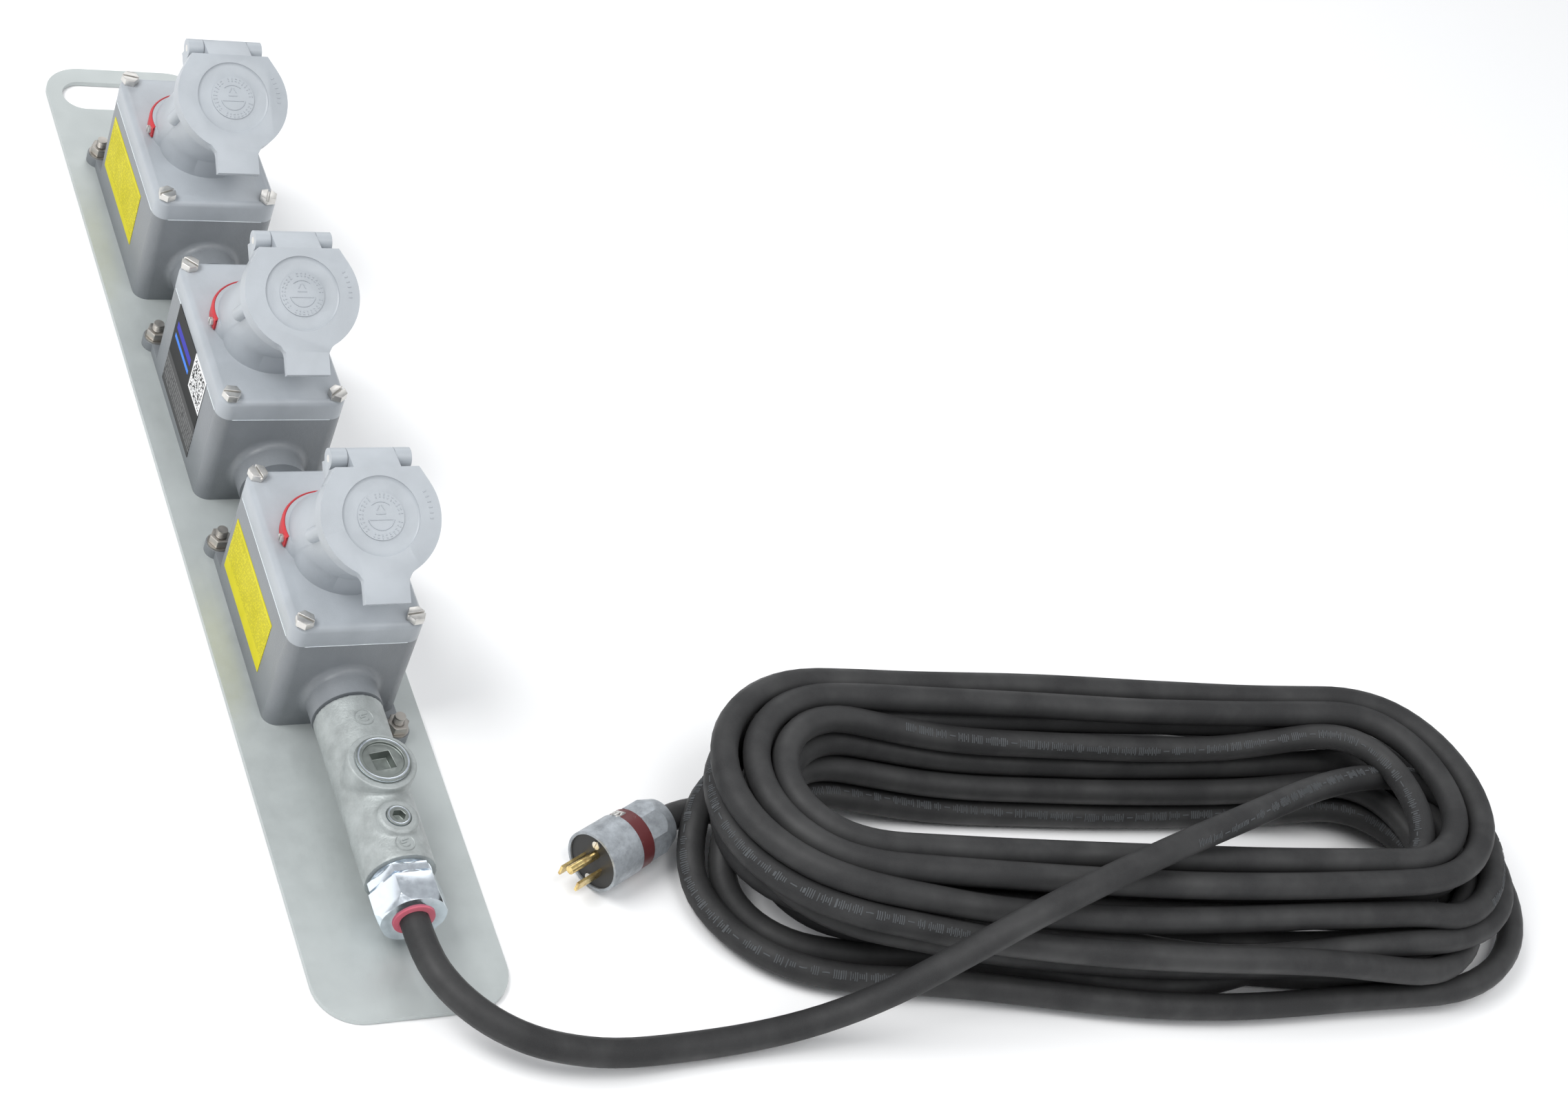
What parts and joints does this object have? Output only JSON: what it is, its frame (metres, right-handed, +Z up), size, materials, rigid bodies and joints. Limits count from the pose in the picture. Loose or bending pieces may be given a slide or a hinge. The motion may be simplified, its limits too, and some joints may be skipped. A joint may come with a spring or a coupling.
{
  "type": "portable power distribution strip",
  "caption": "Carrying plate with a row of cast receptacle boxes under slanted spring lids, a seal fitting, a cord gland and a coiled feed cord ending in a plug.",
  "frame": {"origin": "centre of the carrying plate's underside", "axes": "+Y along the plate from the cord gland to the carrying slot, +Z up out of the covers, +X towards the coiled cord"},
  "size_m": [0.7627, 0.8325, 0.158],
  "materials": {
    "galvanised_plate": "mottled grey galvanised sheet",
    "grey_casting": "satin light grey enamel over a casting",
    "stainless_steel": "bright turned steel",
    "gasket_rubber": "matt black",
    "black_plastic": "moulded, matt",
    "brass": "bright brass",
    "red_band": "satin red",
    "yellow_label": "printed film",
    "black_label": "printed film",
    "zinc_plate": "bright zinc plate",
    "aluminium_paint": "aluminium paint on a rough casting",
    "sealing_compound": "set compound",
    "wire_insulation": "smooth",
    "pink_rubber": "soft pinkish red",
    "cord_jacket": "matt black with a fine grain",
    "plug_metal": "worn bare casting",
    "maroon_band": "dark red film"
  },
  "bodies": {
    "base": {"band_screws": "stainless_steel", "box_body_1": "grey_casting", "box_body_2": "grey_casting", "box_body_3": "grey_casting", "conductors": "wire_insulation", "cord_coil": "cord_jacket", "cord_lead": "cord_jacket", "cord_sheath_end": "cord_jacket", "cord_tail": "cord_jacket", "cover_screws_1": "stainless_steel", "cover_screws_2": "stainless_steel", "cover_screws_3": "stainless_steel", "gland_body": "zinc_plate", "gland_bush": "pink_rubber", "gland_nut": "zinc_plate", "ground_screws": "stainless_steel", "hinge_pin_1": "stainless_steel", "hinge_pin_2": "stainless_steel", "hinge_pin_3": "stainless_steel", "keying_band_1": "red_band", "keying_band_2": "red_band", "keying_band_3": "red_band", "lid_spring_1": "stainless_steel", "lid_spring_2": "stainless_steel", "lid_spring_3": "stainless_steel", "lug_nuts": "stainless_steel", "lug_studs": "stainless_steel", "lug_washers": "stainless_steel", "mounting_plate": "galvanised_plate", "nipple_1": "zinc_plate", "nipple_2": "zinc_plate", "nipple_3": "zinc_plate", "plug_band": "maroon_band", "plug_blades": "brass", "plug_face": "black_plastic", "plug_rear": "plug_metal", "plug_screws": "stainless_steel", "plug_sleeve": "plug_metal", "receptacle_contacts_1": "brass", "receptacle_contacts_2": "brass", "receptacle_contacts_3": "brass", "receptacle_cover_1": "grey_casting", "receptacle_cover_2": "grey_casting", "receptacle_cover_3": "grey_casting", "receptacle_insert_1": "black_plastic", "receptacle_insert_2": "black_plastic", "receptacle_insert_3": "black_plastic", "seal_drain_plug": "zinc_plate", "seal_fill_plug": "zinc_plate", "seal_fitting": "aluminium_paint", "sealing_compound": "sealing_compound", "wall_label_1": "yellow_label", "wall_label_2": "black_label", "wall_label_3": "yellow_label"},
    "lid_1_assembly": {"lid_1": "grey_casting", "lid_gasket_1": "gasket_rubber"},
    "lid_2_assembly": {"lid_2": "grey_casting", "lid_gasket_2": "gasket_rubber"},
    "lid_3_assembly": {"lid_3": "grey_casting", "lid_gasket_3": "gasket_rubber"}
  },
  "joints": [
    {"name": "lid_1_hinge", "type": "hinge", "parent": "base", "child": "lid_1_assembly", "pos_m": [0, -0.12776, 0.15142], "axis": [-1, 0, 0], "range_deg": [0, 115], "stiffness_Nm_per_rad": 0.06, "springref_deg": -57.3},
    {"name": "lid_2_hinge", "type": "hinge", "parent": "base", "child": "lid_2_assembly", "pos_m": [0, 0.03924, 0.15142], "axis": [-1, 0, 0], "range_deg": [0, 115], "stiffness_Nm_per_rad": 0.06, "springref_deg": -57.3},
    {"name": "lid_3_hinge", "type": "hinge", "parent": "base", "child": "lid_3_assembly", "pos_m": [0, 0.20624, 0.15142], "axis": [-1, 0, 0], "range_deg": [0, 115], "stiffness_Nm_per_rad": 0.06, "springref_deg": -57.3}
  ]
}
